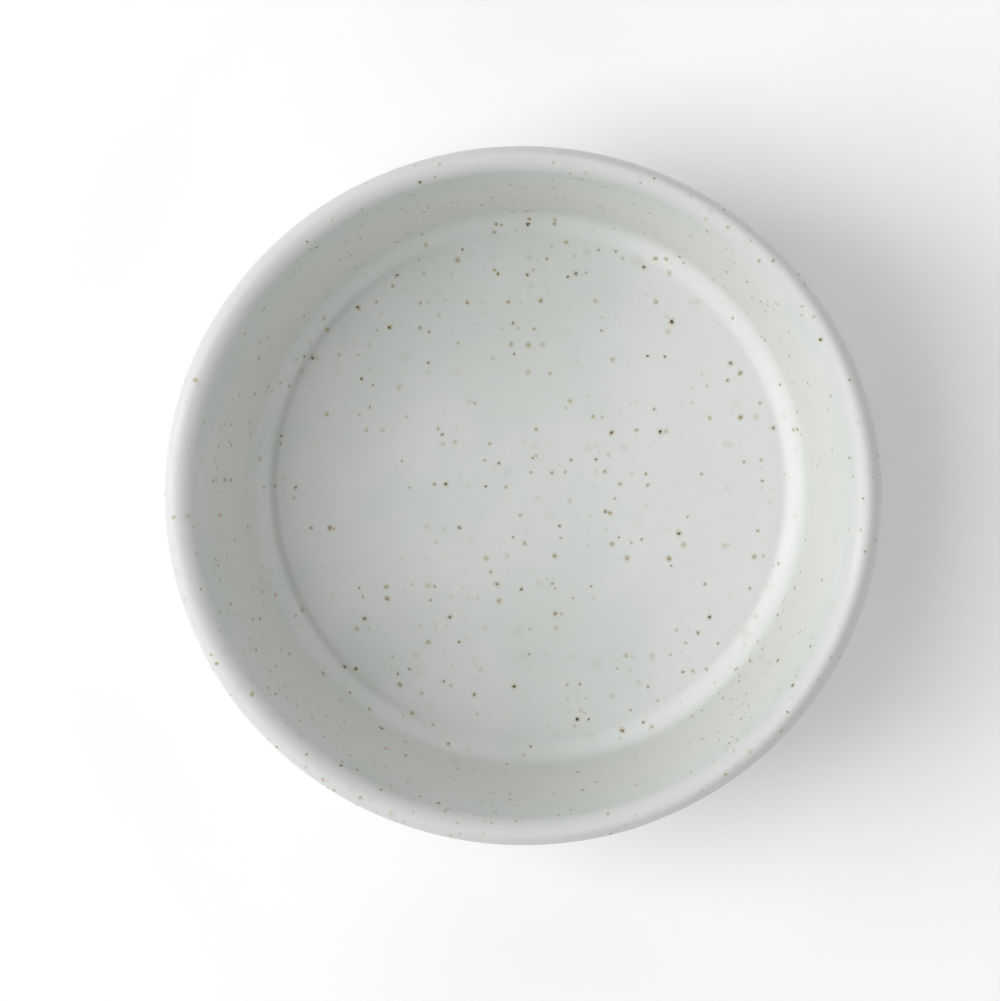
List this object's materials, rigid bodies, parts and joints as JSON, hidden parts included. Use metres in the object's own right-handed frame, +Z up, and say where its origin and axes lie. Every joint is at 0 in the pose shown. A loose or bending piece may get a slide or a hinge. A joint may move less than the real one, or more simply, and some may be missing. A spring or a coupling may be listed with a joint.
{
  "type": "evaporating dish",
  "caption": "Round flat-bottomed ceramic dish with a steep wall, a rolled lip without a spout and a bare foot ring, for holding or slowly evaporating a liquid.",
  "frame": {"origin": "centre of the foot ring's resting face, on the table", "axes": "+Z up along the dish's axis, +X along the longer way across the slightly oval lip"},
  "size_m": [0.1214, 0.1184, 0.037],
  "materials": {
    "bare_clay": "unglazed, fine sandy",
    "glaze": "satin gloss, faintly green white with iron specks"
  },
  "bodies": {
    "root": {"clay_body": "bare_clay", "glaze_coat": "glaze", "base_glaze": "glaze"}
  },
  "joints": []
}
